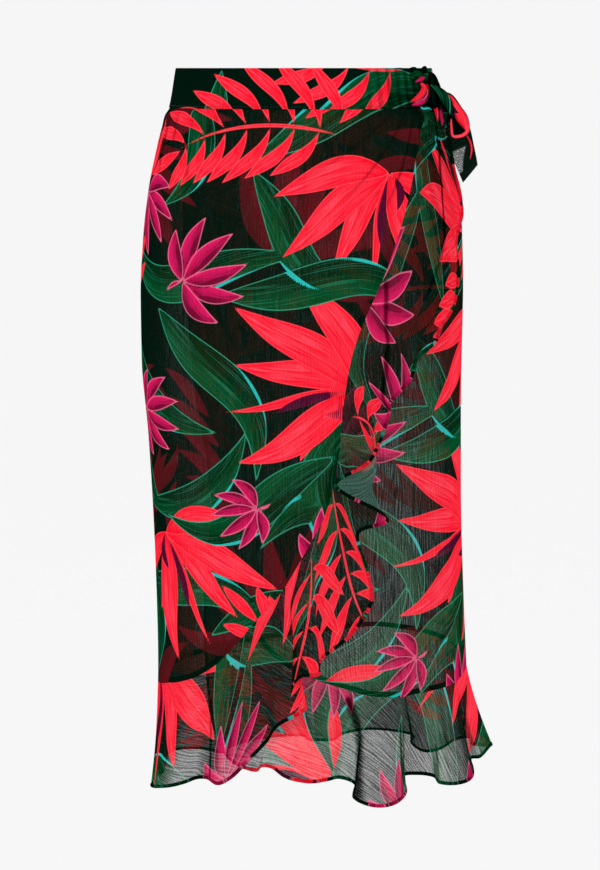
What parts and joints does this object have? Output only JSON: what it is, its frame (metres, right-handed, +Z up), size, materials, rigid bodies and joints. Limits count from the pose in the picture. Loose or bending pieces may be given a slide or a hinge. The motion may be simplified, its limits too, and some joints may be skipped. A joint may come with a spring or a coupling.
{
  "type": "wrap sarong skirt in its worn, hollow form",
  "caption": "Sheer midi wrap skirt with a curved wrap edge, a falling flounce all round, a lapped waistband and a side knot.",
  "frame": {"origin": "middle of the waist opening, half way up the waistband", "axes": "+Z up along the body, -Y to the front of the skirt, +X to the side of the knot (image right)"},
  "size_m": [0.3932, 0.3014, 0.8046],
  "materials": {
    "waistband_cloth": "doubled crinkle chiffon, green leaves on black",
    "over_panel_cloth": "sheer crinkle chiffon, coral red flowers on black",
    "under_panel_cloth": "sheer crinkle chiffon, coral red fronds on black",
    "back_panel_cloth": "sheer crinkle chiffon, flowers and leaves on black",
    "over_flounce_cloth": "sheer crinkle chiffon with a black rolled hem",
    "under_flounce_cloth": "sheer crinkle chiffon, grey where single",
    "back_flounce_cloth": "sheer crinkle chiffon, grey where single",
    "tie_knot_cloth": "gathered chiffon",
    "tie_loop_cloth": "doubled chiffon",
    "tie_tail_cloth": "doubled chiffon, dark"
  },
  "bodies": {
    "root": {"waistband": "waistband_cloth", "over_panel": "over_panel_cloth", "under_panel": "under_panel_cloth", "back_panel": "back_panel_cloth", "over_flounce": "over_flounce_cloth", "under_flounce": "under_flounce_cloth", "back_flounce": "back_flounce_cloth", "tie_knot": "tie_knot_cloth", "tie_loop": "tie_loop_cloth", "tie_tail": "tie_tail_cloth"}
  },
  "joints": []
}
